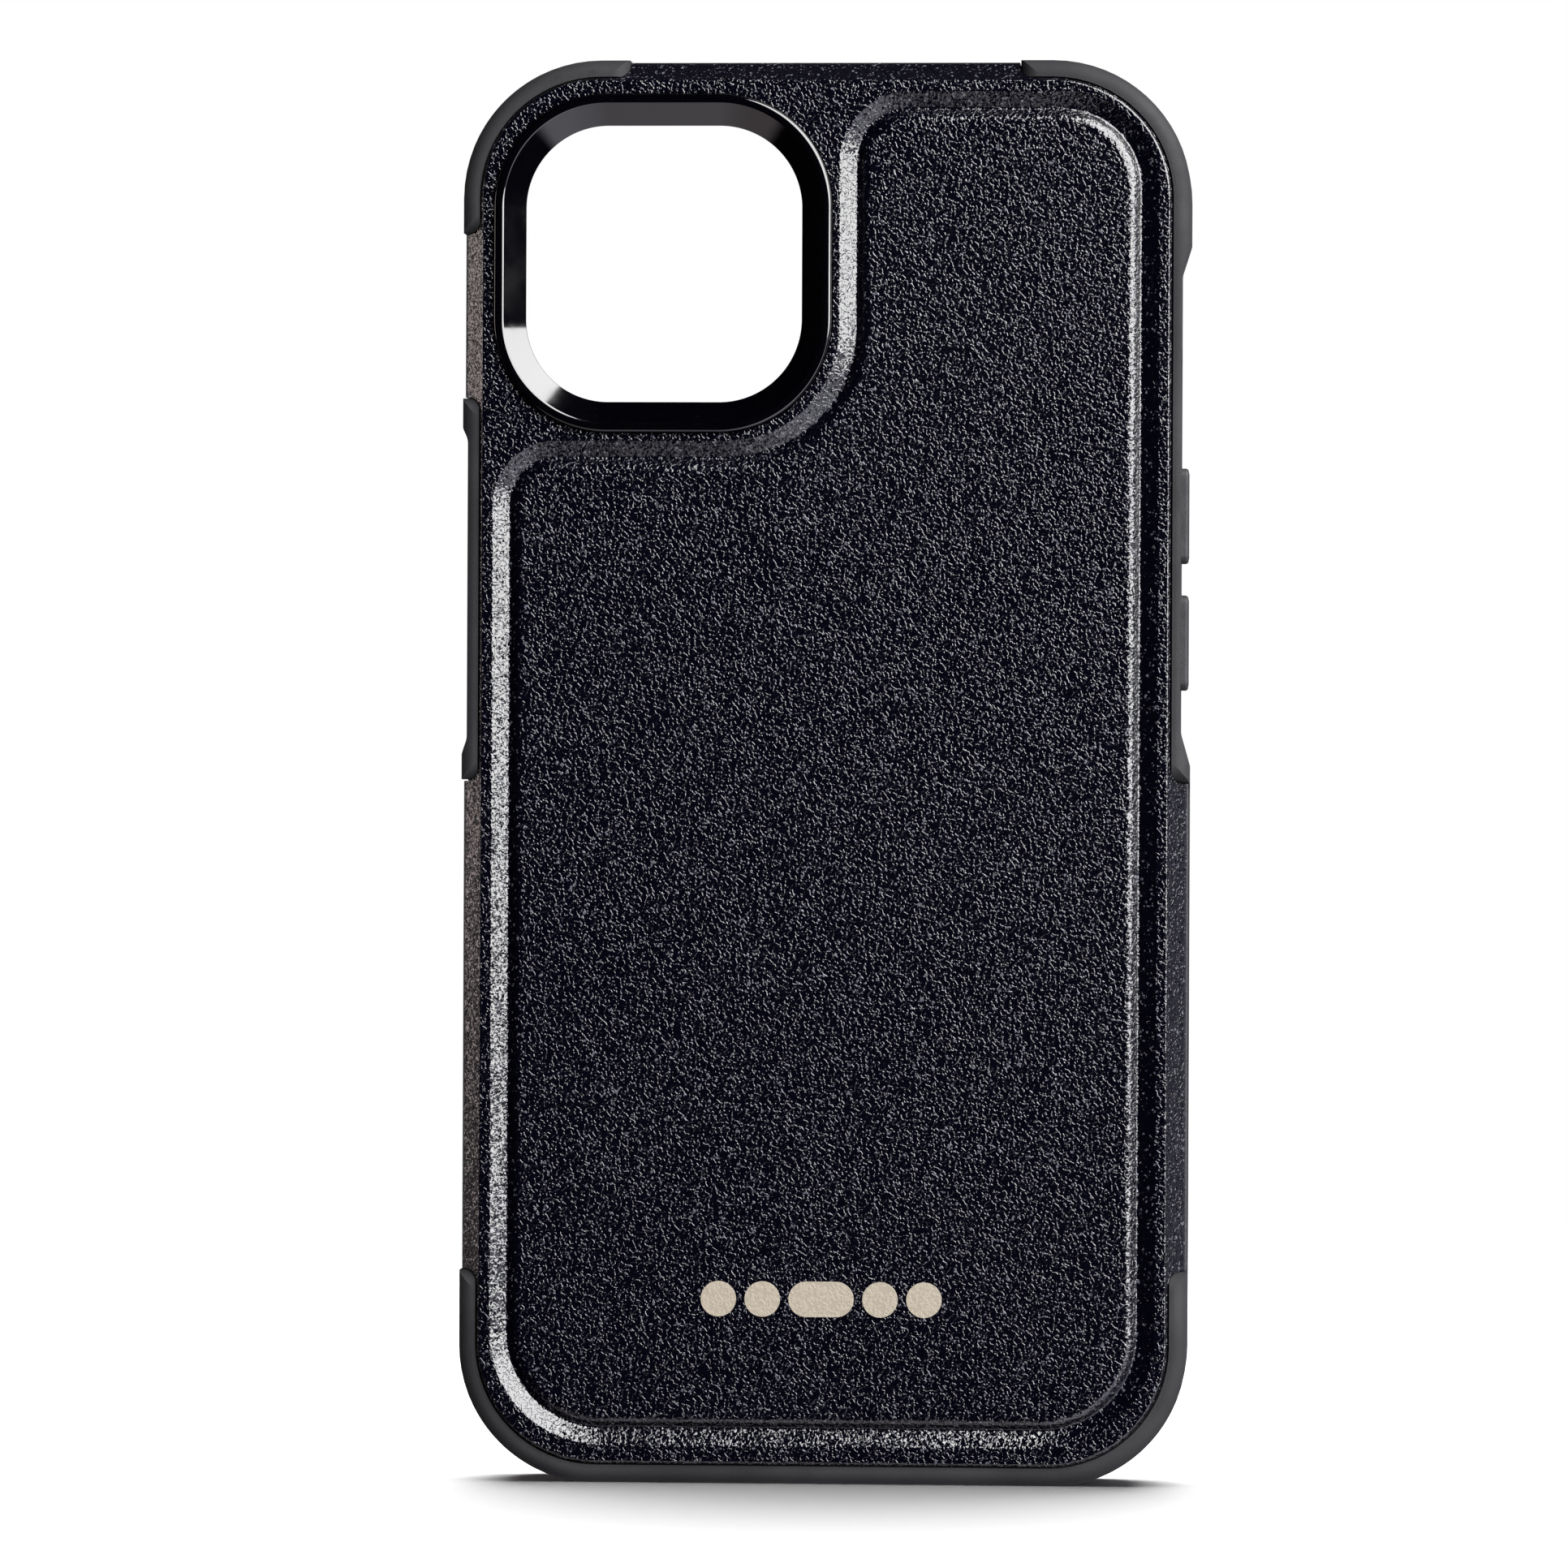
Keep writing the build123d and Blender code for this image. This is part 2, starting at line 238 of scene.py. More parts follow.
def carried_profile(outline: Outline, profile: Array, normals: Array, closed: bool) -> Surface:
    """A profile carried round an outline: its u grows the outline and its v is depth.

    Point (k, n) is centre n + (radius + u k) normal n across, and v k deep.

    Args:
        outline: the outline that the profile goes round.
        profile: (u, v) of the profile's points.
        normals: unit normals of the profile at those points.
        closed: whether the profile closes on itself.

    Returns:
        The surface, with columns (across 1, depth, across 2).
    """
    across = outline.grown(profile[:, 0])
    depth = np.broadcast_to(profile[:, 1][:, None], across.shape[:2])
    points = np.stack([across[..., 0], depth, across[..., 1]], axis=2)
    turned = normals[:, :1, None] * outline.normals[None]
    deep = np.broadcast_to(normals[:, 1][:, None], across.shape[:2])
    facing = np.stack([turned[..., 0], deep, turned[..., 1]], axis=2)
    faces = grid_faces(len(profile), len(outline.centres), closed, True)
    return Surface(points.reshape(-1, 3), facing.reshape(-1, 3), faces)


def lid(outline: Outline, grow: float, depth: float, facing: float, rings: int = 4) -> Surface:
    """A flat lid over a grown outline: rings that shrink in equal steps to its middle line.

    Args:
        outline: the outline that the lid fills.
        grow: how far the outline is grown, in mm.
        depth: the lid's depth, in mm.
        facing: the sign of the lid's normal along depth.
        rings: faces from the rim to the middle line.

    Returns:
        The surface, with columns (across 1, depth, across 2).
    """
    rim = outline.grown(np.array([grow]))[0]
    half = np.abs(rim).max(axis=0)
    spine = np.clip(rim, -(half - half.min()), half - half.min())
    share = np.linspace(0, 1, rings + 1)[:, None, None]
    across = rim[None] * (1 - share) + spine[None] * share
    points = np.stack([across[..., 0], np.full(across.shape[:2], depth), across[..., 1]], axis=2)
    normals = np.zeros_like(points)
    normals[..., 1] = facing
    faces = grid_faces(rings + 1, len(rim), False, True)
    return Surface(points.reshape(-1, 3), normals.reshape(-1, 3), faces)


def mesh_piece(name: str, surface: Surface, material: bpy.types.Material) -> bpy.types.Object:
    """Makes a piece from a surface, with its own normals, faces outwards and its seams welded.

    Points that agree to 0.00001 mm become one, whose normal is the sum of theirs. A quad whose area
    vector leans away from its corners' normals is turned round, and one with a side of no length
    becomes a triangle.

    Args:
        name: the piece's name.
        surface: its points in mm in the frame's axes.
        material: its finish.

    Returns:
        The new object, at the origin, with its place in its mesh.
    """
    key = np.round(surface.points, WELD_DIGITS)
    unique, first, number = np.unique(key, axis=0, return_index=True, return_inverse=True)
    number = number.reshape(-1)
    summed = np.zeros_like(unique)
    np.add.at(summed, number, surface.normals)
    facing = summed / np.maximum(np.linalg.norm(summed, axis=1, keepdims=True), TINY)
    points = surface.points[first] * MM
    faces = number[surface.faces]
    corner = points[faces]
    flat = np.cross(corner[:, 2] - corner[:, 0], corner[:, 3] - corner[:, 1])
    inward = (flat * facing[faces].sum(axis=1)).sum(axis=1) < 0
    faces[inward] = faces[inward][:, ::-1]
    same = faces == np.roll(faces, -1, axis=1)
    polygons = [face[~twin].tolist() for face, twin in zip(faces, same) if twin.sum() < 2]
    mesh = bpy.data.meshes.new(name)
    mesh.from_pydata(points.tolist(), [], polygons)
    mesh.polygons.foreach_set("use_smooth", np.ones(len(polygons), bool))
    mesh.normals_split_custom_set_from_vertices(facing.tolist())
    mesh.validate()
    mesh.materials.append(material)
    piece = bpy.data.objects.new(name, mesh)
    bpy.context.scene.collection.objects.link(piece)
    return piece


def install(piece: bpy.types.Object, body: Body, slot: Slot, *nodes: str) -> None:
    """Puts a piece on its body in place of CAD nodes, and reports it.

    Args:
        piece: the finished piece.
        body: the body that it moves with.
        slot: the record's slot that it takes its finish from; not used.
        *nodes: the CAD nodes that it stands for.
    """
    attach(piece, body.value)
    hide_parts(*nodes)
    LOG.info("%s: %d faces, rides on %s", piece.name, len(piece.data.polygons), body.value)


def dress_node(name: str, material: bpy.types.Material) -> None:
    """Gives a CAD node that stays in place its finish, and reports it."""
    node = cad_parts[name]
    node.data.materials.clear()
    node.data.materials.append(material)
    LOG.info("%s: the CAD node stays, with %s", name, material.name)


# ---------------------------------------------------------------- shader groups


class Graph:
    """A short way to write a node tree."""

    def __init__(self, tree: bpy.types.NodeTree) -> None:
        """Starts with an empty tree."""
        self.tree = tree
        tree.nodes.clear()

    def fill(self, made: bpy.types.Node, inputs: dict[Any, Any]) -> None:
        """Gives a node's inputs their values, and links those whose value is a socket."""
        for name, value in inputs.items():
            if isinstance(value, bpy.types.NodeSocket):
                self.tree.links.new(value, made.inputs[name])
            else:
                made.inputs[name].default_value = value

    def node(
        self, kind: str, inputs: dict[Any, Any] | None = None, **settings: Any
    ) -> bpy.types.Node:
        """Adds a node.

        Args:
            kind: the node's type, without its common prefix.
            inputs: values or sockets for its inputs, by name or number.
            **settings: the node's own properties.

        Returns:
            The node.
        """
        made = self.tree.nodes.new("ShaderNode" + kind)
        for name, value in settings.items():
            setattr(made, name, value)
        self.fill(made, inputs or {})
        return made

    def math(self, operation: str, *values: Any) -> Socket:
        """The result of one arithmetic step on numbers or sockets."""
        return self.node("Math", dict(enumerate(values)), operation=operation).outputs[0]

    def vector(self, operation: str, *values: Any) -> Socket:
        """The vector result of one arithmetic step on vectors or sockets."""
        return self.node("VectorMath", dict(enumerate(values)), operation=operation).outputs[0]

    def scaled(self, vector: Socket, factor: Any) -> Socket:
        """A vector times a number."""
        return self.node("VectorMath", {0: vector, "Scale": factor}, operation="SCALE").outputs[0]

    def ramp(
        self, value: Socket, low: float, high: float, start: float = 0.0, end: float = 1.0
    ) -> Socket:
        """A smooth step of a value from start at low to end at high."""
        inputs = {"Value": value, 1: low, 2: high, 3: start, 4: end}
        return self.node("MapRange", inputs, interpolation_type="SMOOTHSTEP").outputs[0]

    def mix(self, share: Any, first: Any, second: Any) -> Socket:
        """A mix of two colours."""
        made = self.node("Mix", {0: share, 6: first, 7: second}, data_type="RGBA")
        return made.outputs[2]


@dataclass(frozen=True)
class GroupSocket:
    """One socket of a shader group: its name, its kind and its first value."""

    name: str
    kind: str = "Float"
    value: Any = None


def new_group(
    name: str, inputs: list[GroupSocket], outputs: list[GroupSocket]
) -> tuple[Graph, Any, Any]:
    """Makes an empty shader group with its sockets.

    Args:
        name: the group's name.
        inputs: its input sockets.
        outputs: its output sockets.

    Returns:
        The group's graph, its input node and its output node.
    """
    tree = bpy.data.node_groups.new(name, "ShaderNodeTree")
    for way, sockets in (("INPUT", inputs), ("OUTPUT", outputs)):
        for socket in sockets:
            kind = "NodeSocket" + socket.kind
            made = tree.interface.new_socket(socket.name, in_out=way, socket_type=kind)
            if socket.value is not None:
                made.default_value = socket.value
    graph = Graph(tree)
    return graph, tree.nodes.new("NodeGroupInput"), tree.nodes.new("NodeGroupOutput")


class Effects:
    """The shader groups that the finishes share, each built once."""

    def __init__(self) -> None:
        """Builds every group."""
        self.grain = self.build_grain()
        self.sparkle_and_painted_glints = self.build_sparkle_and_painted_glints()
        self.drift = self.build_drift()

    @staticmethod
    def build_grain() -> bpy.types.NodeTree:
        """Spark-eroded grain: worm-like plateaus with steep sides where a warped noise is high."""
        bend_scale, plateau_foot, plateau_top, fine_scale = 0.55, 0.43, 0.57, 3.1
        graph, given, result = new_group(
            "SparkErodedGrain",
            [GroupSocket("Vector", "Vector"), GroupSocket("Cells", value=3000.0),
             GroupSocket("Warp", value=0.6), GroupSocket("Fine", value=0.3)],
            [GroupSocket("Height"), GroupSocket("Pits")],
        )
        vector, cells, warp, fine = given.outputs[:4]
        slower = graph.math("MULTIPLY", cells, bend_scale)
        bend = graph.node("TexNoise", {"Vector": vector, "Scale": slower, "Detail": 1.0})
        pushed = graph.vector("SUBTRACT", bend.outputs["Color"], (0.5, 0.5, 0.5))
        reach = graph.math("MULTIPLY", graph.math("DIVIDE", warp, cells), 2.0)
        place = graph.vector("ADD", vector, graph.scaled(pushed, reach))
        warped = {"Vector": place, "Scale": cells, "Detail": 1.0, "Roughness": 0.45}
        worms = graph.node("TexNoise", warped)
        ridge = graph.ramp(worms.outputs["Fac"], plateau_foot, plateau_top)
        faster = graph.math("MULTIPLY", cells, fine_scale)
        dust = graph.node("TexNoise", {"Vector": vector, "Scale": faster, "Detail": 0.0})
        low = graph.math("MULTIPLY", dust.outputs["Fac"], fine)
        graph.tree.links.new(graph.math("ADD", ridge, low), result.inputs["Height"])
        graph.tree.links.new(graph.math("SUBTRACT", 1.0, ridge), result.inputs["Pits"])
        return graph.tree

    @staticmethod
    def build_sparkle_and_painted_glints() -> bpy.types.NodeTree:
        """Glints: each small cell tilts the normal its own way, and a few are marked for painted
        glints in the base colour.
        """
        graph, given, result = new_group(
            "FacetSparkleAndPaintedGlint",
            [GroupSocket("Vector", "Vector"), GroupSocket("Normal", "Vector"),
             GroupSocket("Cells", value=8000.0), GroupSocket("Tilt", value=0.3),
             GroupSocket("Painted glint share", value=0.05)],
            [GroupSocket("Normal", "Vector"), GroupSocket("Mask")],
        )
        vector, normal, cells, tilt, share = given.outputs[:5]
        facets = graph.node("TexVoronoi", {"Vector": vector, "Scale": cells}, feature="F1")
        lean = graph.vector("SUBTRACT", facets.outputs["Color"], (0.5, 0.5, 0.5))
        tilted = graph.vector("ADD", normal, graph.scaled(lean, tilt))
        graph.tree.links.new(graph.vector("NORMALIZE", tilted), result.inputs["Normal"])
        # marks a share of the cells for painted glints: pale base colour that stands in for bright
        # glints
        painted_glint_pick = graph.node("SeparateColor", {0: facets.outputs["Color"]}).outputs[2]
        graph.tree.links.new(graph.math("LESS_THAN", painted_glint_pick, share), result.inputs["Mask"])
        return graph.tree

    @staticmethod
    def build_drift() -> bpy.types.NodeTree:
        """Handling: slow patches of rubbed surface and a faint dust, as two masks from 0 to 1."""
        rubbed_foot, rubbed_top = 0.35, 0.7
        speck_cells, speck_foot, speck_top = 2600.0, 0.66, 0.8
        graph, given, result = new_group(
            "HandlingDrift",
            [GroupSocket("Vector", "Vector"), GroupSocket("Patches", value=60.0)],
            [GroupSocket("Rubbed"), GroupSocket("Dust")],
        )
        vector, patches = given.outputs[:2]
        wide = {"Vector": vector, "Scale": patches, "Detail": 4.0, "Roughness": 0.6}
        slow = graph.node("TexNoise", wide)
        rubbed = graph.ramp(slow.outputs["Fac"], rubbed_foot, rubbed_top)
        graph.tree.links.new(rubbed, result.inputs["Rubbed"])
        specks = graph.node("TexNoise", {"Vector": vector, "Scale": speck_cells, "Detail": 2.0})
        dust = graph.ramp(specks.outputs["Fac"], speck_foot, speck_top)
        graph.tree.links.new(dust, result.inputs["Dust"])
        return graph.tree


@dataclass(frozen=True)
class Canvas:
    """A material being written: its graph, its object coordinates and its shader."""

    material: bpy.types.Material
    graph: Graph
    place: Socket
    shader: bpy.types.Node

    def group(self, tree: bpy.types.NodeTree, inputs: dict[str, Any]) -> bpy.types.Node:
        """Places a shared group with its own values."""
        made = self.graph.tree.nodes.new("ShaderNodeGroup")
        made.node_tree = tree
        self.graph.fill(made, inputs)
        return made

    def bump(self, height: Socket, rise: float, normal: Socket | None = None) -> None:
        """Lets a height from 0 to 1 raise the surface by rise mm and feeds the shader's normal."""
        inputs: dict[str, Any] = {"Height": height, "Distance": rise * MM, "Strength": 1.0}
        if normal is not None:
            inputs["Normal"] = normal
        made = self.graph.node("Bump", inputs)
        self.graph.tree.links.new(made.outputs[0], self.shader.inputs["Normal"])

    def feed(self, name: str, value: Socket) -> None:
        """Links a socket into the shader."""
        self.graph.tree.links.new(value, self.shader.inputs[name])


def new_canvas(name: str, **constants: Any) -> Canvas:
    """Starts a material with a Principled shader.

    Args:
        name: the material's name.
        **constants: plain values for the shader's sockets, with _ for a space in their names.

    Returns:
        The canvas to write the rest of the material on.
    """
    material = bpy.data.materials.new(name)
    material.use_nodes = True
    graph = Graph(material.node_tree)
    shader = graph.node("BsdfPrincipled")
    for key, value in constants.items():
        shader.inputs[key.replace("_", " ")].default_value = value
    graph.node("OutputMaterial", {"Surface": shader.outputs[0]})
    place = graph.node("TexCoord").outputs["Object"]
    return Canvas(material, graph, place, shader)


# ---------------------------------------------------------------- finishes


@dataclass(frozen=True)
class ShellFinish:
    """Moulded hard shell: blue-black plastic with a fine spark-eroded grain that glints, and a pale
    base colour on a few raised cells as painted glints.
    """

    colour: Colour = (0.0004, 0.0004, 0.0015, 1.0)
    dust: Colour = (0.004, 0.004, 0.006, 1.0)
    # painted glint: a pale base colour on a few raised grain cells, standing in for bright glints
    painted_glint: Colour = (0.046, 0.047, 0.056, 1.0)
    cells: float = 2700.0
    fine: float = 0.08
    rise: float = 0.025
    facet_cells: float = 4600.0
    facet_tilt: float = 0.2
    painted_glint_share: float = 0.06
    dust_share: float = 0.5
    roughness: float = 0.115
    rubbed_change: float = -0.03
    painted_glint_roughness_change: float = -0.15

    def build(self, effects: Effects) -> bpy.types.Material:
        """Writes the material."""
        canvas = new_canvas("moulded_shell")
        graph = canvas.graph
        worms = {"Vector": canvas.place, "Cells": self.cells, "Fine": self.fine}
        grain = canvas.group(effects.grain, worms)
        drift = canvas.group(effects.drift, {"Vector": canvas.place})
        facing = graph.node("NewGeometry").outputs["Normal"]
        facets = {
            "Vector": canvas.place, "Normal": facing, "Cells": self.facet_cells,
            "Tilt": self.facet_tilt, "Painted glint share": self.painted_glint_share,
        }
        sparkle_and_painted_glints = canvas.group(effects.sparkle_and_painted_glints, facets)
        dusted = graph.math("MULTIPLY", drift.outputs["Dust"], self.dust_share)
        ground = graph.mix(dusted, self.colour, self.dust)
        painted_glints, rubbed = sparkle_and_painted_glints.outputs["Mask"], drift.outputs["Rubbed"]
        # painted glints: the marked cells take the pale colour where the grain is raised
        raised_painted_glints = graph.math("MULTIPLY", painted_glints, grain.outputs["Height"])
        canvas.feed("Base Color", graph.mix(raised_painted_glints, ground, self.painted_glint))
        rough = graph.math("MULTIPLY_ADD", rubbed, self.rubbed_change, self.roughness)
        rough = graph.math("MULTIPLY_ADD", painted_glints, self.painted_glint_roughness_change, rough)
        canvas.feed("Roughness", rough)
        canvas.bump(grain.outputs["Height"], self.rise, sparkle_and_painted_glints.outputs["Normal"])
        return canvas.material


@dataclass(frozen=True)
class MatteFinish:
    """A matte moulded plastic whose rubbed patches are a little lighter and smoother."""

    name: str
    colour: Colour
    worn: Colour
    specular: float
    cells: float
    patches: float
    roughness: float
    rise: float
    rubbed_change: float = -0.08

    def build(self, effects: Effects) -> bpy.types.Material:
        """Writes the material."""
        canvas = new_canvas(self.name, Specular_IOR_Level=self.specular)
        graph = canvas.graph
        grain = canvas.group(effects.grain, {"Vector": canvas.place, "Cells": self.cells})
        drift = canvas.group(effects.drift, {"Vector": canvas.place, "Patches": self.patches})
        rubbed = drift.outputs["Rubbed"]
        canvas.feed("Base Color", graph.mix(rubbed, self.colour, self.worn))
        rough = graph.math("MULTIPLY_ADD", rubbed, self.rubbed_change, self.roughness)
        canvas.feed("Roughness", rough)
        canvas.bump(grain.outputs["Height"], self.rise)
        return canvas.material


SLEEVE_FINISH = MatteFinish(
    name="soft_rubber", colour=(0.005, 0.005, 0.006, 1.0), worn=(0.009, 0.009, 0.0105, 1.0),
    specular=0.22, cells=6500.0, patches=90.0, roughness=0.8, rise=0.006,
)
BUTTON_FINISH = MatteFinish(
    name="matte_button", colour=(0.006, 0.006, 0.007, 1.0), worn=(0.011, 0.011, 0.0125, 1.0),
    specular=0.25, cells=5200.0, patches=300.0, roughness=0.7, rise=0.008,
)


@dataclass(frozen=True)
class BezelFinish:
    """Polished black plastic with the faintest unevenness."""

    colour: Colour = (0.0002, 0.0002, 0.0005, 1.0)
    dust: Colour = (0.006, 0.006, 0.007, 1.0)
    dust_share: float = 0.25
    patches: float = 220.0
    roughness: float = 0.06
    rubbed_change: float = 0.05
    waves: float = 150.0
    rise: float = 0.05

    def build(self, effects: Effects) -> bpy.types.Material:
        """Writes the material."""
        canvas = new_canvas("polished_black")
        graph = canvas.graph
        drift = canvas.group(effects.drift, {"Vector": canvas.place, "Patches": self.patches})
        dusted = graph.math("MULTIPLY", drift.outputs["Dust"], self.dust_share)
        canvas.feed("Base Color", graph.mix(dusted, self.colour, self.dust))
        rubbed = drift.outputs["Rubbed"]
        rough = graph.math("MULTIPLY_ADD", rubbed, self.rubbed_change, self.roughness)
        canvas.feed("Roughness", rough)
        slow = graph.node("TexNoise", {"Vector": canvas.place, "Scale": self.waves, "Detail": 1.0})
        canvas.bump(slow.outputs["Fac"], self.rise)
        return canvas.material


@dataclass(frozen=True)
class InkFinish:
    """Champagne ink that follows the grain under it and thins a little in the pits."""

    colour: Colour = (0.16, 0.138, 0.108, 1.0)
    thin: Colour = (0.115, 0.097, 0.075, 1.0)
    thin_share: float = 0.6
    cells: float = 3000.0
    roughness: float = 0.42
    pit_change: float = 0.15
    rise: float = 0.012

    def build(self, effects: Effects) -> bpy.types.Material:
        """Writes the material."""
        canvas = new_canvas("champagne_ink")
        graph = canvas.graph
        grain = canvas.group(effects.grain, {"Vector": canvas.place, "Cells": self.cells})
        pits = grain.outputs["Pits"]
        share = graph.math("MULTIPLY", pits, self.thin_share)
        canvas.feed("Base Color", graph.mix(share, self.colour, self.thin))
        canvas.feed("Roughness", graph.math("MULTIPLY_ADD", pits, self.pit_change, self.roughness))
        canvas.bump(grain.outputs["Height"], self.rise)
        return canvas.material


# ---------------------------------------------------------------- sub-assemblies


@dataclass
class CameraBezel:
    """Gloss ring round the camera: a funnel, a flat crest and a flange behind the shell."""

    window_x: float = -17.4
    window_z: float = 130.45
    window_size: float = 29.6
    corner: float = 8.85
    funnel_width: float = 2.35
    funnel_depth: float = 2.1
    flat: float = 0.95
    flange_width: float = 0.8
    flange_thickness: float = 0.75
    thickness: float = 2.3
    crest_round: float = 0.4
    edge_round: float = 0.08
    arc_steps: int = 48
    side_steps: int = 8

    def surface(self) -> Surface:
        """The ring: its closed section carried round the window's rounded square.

        The section goes up the funnel, across the crest, down the outside, round the flange and
        back along the inside, with an arc at each corner.
        """
        edge = self.edge_round
        outer = self.funnel_width + self.flat
        flange = outer + self.flange_width
        section = [
            (0.0, self.funnel_depth, edge),
            (self.funnel_width, 0.0, self.crest_round),
            (outer, 0.0, self.crest_round),
            (outer, self.thickness - self.flange_thickness, edge / 2),
            (flange, self.thickness - self.flange_thickness, edge),
            (flange, self.thickness, edge),
            (0.0, self.thickness, edge),
        ]
        profile, normals = rounded_profile(section, steps=8)
        half = self.window_size / 2
        outline = rounded_rectangle(half, half, self.corner, self.arc_steps, self.side_steps)
        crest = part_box("camera_bezel")[0].y / MM
        origin = np.array([self.window_x, crest, self.window_z])
        return carried_profile(outline, profile, normals, closed=True).placed(np.eye(3), origin)

    def build(self, finish: bpy.types.Material) -> None:
        """Makes the ring and puts it on the shell."""
        piece = mesh_piece("camera_bezel_ring", self.surface(), finish)
        install(piece, Body.SHELL, Slot.BEZEL, "camera_bezel")


@dataclass
class Case:
    """The two big pieces, whose CAD shapes stay."""

    def build(self, shell: bpy.types.Material, sleeve: bpy.types.Material) -> None:
        """Gives both CAD nodes their finishes."""
        dress_node("rear_shell", shell)
        dress_node("soft_sleeve", sleeve)


@dataclass
class SideButton:
    """A side button: a round-edged cap with a faintly raised face, a flange and a pusher nub."""

    node: str
    body: Body
    side: Side
    corner: float = 0.9
    cap_round: float = 0.32
    face_inset: float = 0.42
    face_slope: float = 0.12
    face_rise: float = 0.05
    face_blend: float = 0.15
    flange_width: float = 0.8
    flange_thickness: float = 0.6
    edge_round: float = 0.1
    nub_length: float = 5.0
    nub_width: float = 1.6
    nub_height: float = 0.25
    nub_corner: float = 0.4
    nub_inset: float = 0.3
    nub_sink: float = 0.1
    side_steps: int = 12

    def cap(self, half_length: float, half_width: float, top: float, back: float) -> Surface:
        """The cap and flange: one section from the face's edge to the back, and a lid at each end.

        Args:
            half_length: half the cap's length, in mm.
            half_width: half the cap's width, in mm.
            top: how far the face is from the middle of the case, in mm.
            back: how far the flange's back is from it, in mm.

        Returns:
            The closed surface.
        """
        face = top - self.face_rise
        shoulder = back + self.flange_thickness
        inset = -self.face_inset - self.face_slope
        section = [
            (inset, top, 0.0),
            (-self.face_inset, face, self.face_blend),
            (0.0, face, self.cap_round),
            (0.0, shoulder, self.edge_round / 2),
            (self.flange_width, shoulder, self.edge_round),
            (self.flange_width, back, self.edge_round),
            (inset, back, 0.0),
        ]
        profile, normals = rounded_profile(section, closed=False)
        steps = self.side_steps
        outline = rounded_rectangle(half_length, half_width, self.corner, side_steps=steps)
        made = carried_profile(outline, profile, normals, closed=False)
        made = made.joined(lid(outline, inset, top, 1.0))
        return made.joined(lid(outline, inset, back, -1.0))

    def nub(self, back: float) -> Surface:
        """The pusher nub behind the flange, whose root is sunk a little into the flange's back."""
        end = back - self.nub_height
        root = back + self.nub_sink
        section = [(-self.nub_inset, end, 0.0), (0.0, end, self.edge_round), (0.0, root, 0.0)]
        profile, normals = rounded_profile(section, closed=False)
        outline = rounded_rectangle(self.nub_length / 2, self.nub_width / 2, self.nub_corner)
        made = carried_profile(outline, profile, normals, closed=False)
        made = made.joined(lid(outline, 0.0, root, 1.0))
        return made.joined(lid(outline, -self.nub_inset, end, -1.0))

    def build(self, finish: bpy.types.Material) -> None:
        """Makes the button, which points away from the case's middle, and puts it on its body."""
        low, high = (np.array(corner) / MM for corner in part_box(self.node))
        half = (high - low) / 2 - self.flange_width
        reach = np.abs([low[0], high[0]])
        back = reach.min() + self.nub_height
        made = self.cap(half[2], half[1], reach.max(), back).joined(self.nub(back))
        axes = np.array([[0.0, 0.0, 1.0], [self.side.value, 0.0, 0.0], [0.0, 1.0, 0.0]])
        origin = (low + high) / 2 * (0.0, 1.0, 1.0)
        piece = mesh_piece(self.node + "_cap", made.placed(axes, origin), finish)
        install(piece, self.body, Slot.BUTTON, self.node)


@dataclass
class Buttons:
    """The three side buttons."""

    def build(self, finish: bpy.types.Material) -> None:
        """Makes every button."""
        SideButton("volume_up_button", Body.VOLUME_UP, Side.RIGHT).build(finish)
        SideButton("volume_down_button", Body.VOLUME_DOWN, Side.RIGHT).build(finish)
        SideButton("power_button", Body.POWER, Side.LEFT).build(finish)


@dataclass
class PrintedMark:
    """Plain printed ornament low on the panel: two dots, a bar and two dots of raised ink."""

    bar: float = 7.0
    gap: float = 0.9
    ink_edge: float = 0.02
    lid_inset: float = 0.1

    def blot(self, centre: float, half_length: float, height: float, thickness: float) -> Surface:
        """One round-ended blot of ink: a low rim with a lid on each side.

        Args:
            centre: how far its middle is to the right of the ornament's, in mm.
            half_length: half its length, in mm.
            height: its height, in mm.
            thickness: the ink's thickness, in mm.

        Returns:
            The closed surface, with its back at depth 0.
        """
        radius = height / 2
        outline = rounded_rectangle(half_length, radius, radius, arc_steps=24, side_steps=4)
        inset = -self.lid_inset
        section = [(inset, -thickness, 0.0), (0.0, -thickness, self.ink_edge), (0.0, 0.0, 0.0)]
        profile, normals = rounded_profile(section, steps=3, closed=False)
        made = carried_profile(outline, profile, normals, closed=False)
        made = made.joined(lid(outline, inset, -thickness, -1.0))
        made = made.joined(lid(outline, 0.0, 0.0, 1.0))
        return made.placed(np.eye(3), np.array([centre, 0.0, 0.0]))

    def build(self, finish: bpy.types.Material) -> None:
        """Prints the ornament on the shell."""
        low, high = (np.array(corner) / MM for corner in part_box("printed_mark"))
        _, thickness, height = high - low
        made = self.blot(0.0, self.bar / 2, height, thickness)
        first = self.bar / 2 + self.gap + height / 2
        for centre in (first, first + height + self.gap):
            for side in Side:
                made = made.joined(self.blot(side.value * centre, height / 2, height, thickness))
        origin = np.array([(low[0] + high[0]) / 2, high[1], (low[2] + high[2]) / 2])
        piece = mesh_piece("printed_mark_ink", made.placed(np.eye(3), origin), finish)
        install(piece, Body.SHELL, Slot.INK, "printed_mark")


# ---------------------------------------------------------------- studio


